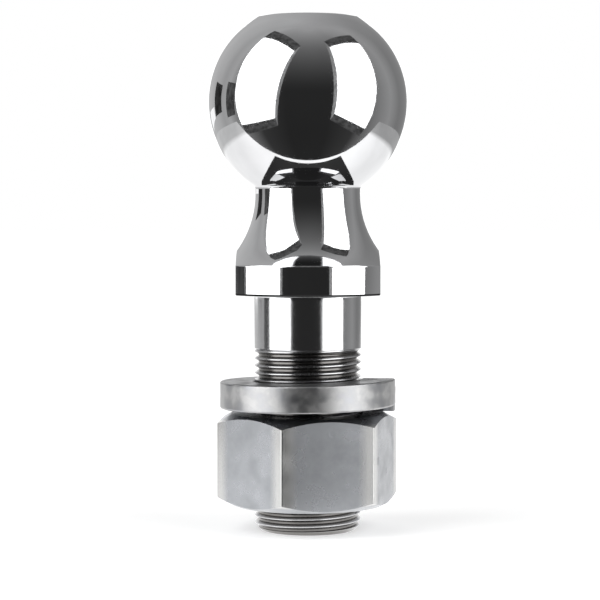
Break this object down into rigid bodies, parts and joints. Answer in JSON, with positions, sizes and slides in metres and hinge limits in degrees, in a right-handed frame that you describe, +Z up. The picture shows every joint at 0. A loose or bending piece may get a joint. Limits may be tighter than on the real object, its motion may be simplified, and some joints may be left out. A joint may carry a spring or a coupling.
{
  "type": "trailer hitch ball",
  "caption": "Chromed hitch ball with a flat top and a flared neck, on a round flange with two wrench flats and a threaded shank, with a split lock washer and a hex nut.",
  "frame": {"origin": "centre of the flange's flat underside, where the ball sits on its platform", "axes": "+Z up the ball's axis, from the shank through the flange to the ball; the flange's two wrench flats face +X and -X, and +Y is level along them"},
  "size_m": [0.0588, 0.0588, 0.1512],
  "materials": {
    "chromed_steel": "mirror-polished chrome plating",
    "spring_steel": "dull zinc-plated spring steel",
    "plated_steel": "bright zinc-plated steel"
  },
  "bodies": {
    "ball": {"hitch_ball": "chromed_steel"},
    "washer": {"lock_washer": "spring_steel"},
    "nut": {"hex_nut": "plated_steel"}
  },
  "joints": [
    {"name": "washer_slide", "type": "slide", "parent": "ball", "child": "washer", "axis": [0, 0, 1], "range_m": [-0.00762, 0.01746]},
    {"name": "nut_turn", "type": "hinge", "parent": "washer", "child": "nut", "pos_m": [0, 0, -0.0487], "axis": [0, 0, 1], "range_deg": [-1297, 2971]}
  ],
  "couplings": [
    {"joint": "nut_turn", "follows": "washer_slide", "rad_per_m": 2968.4}
  ]
}
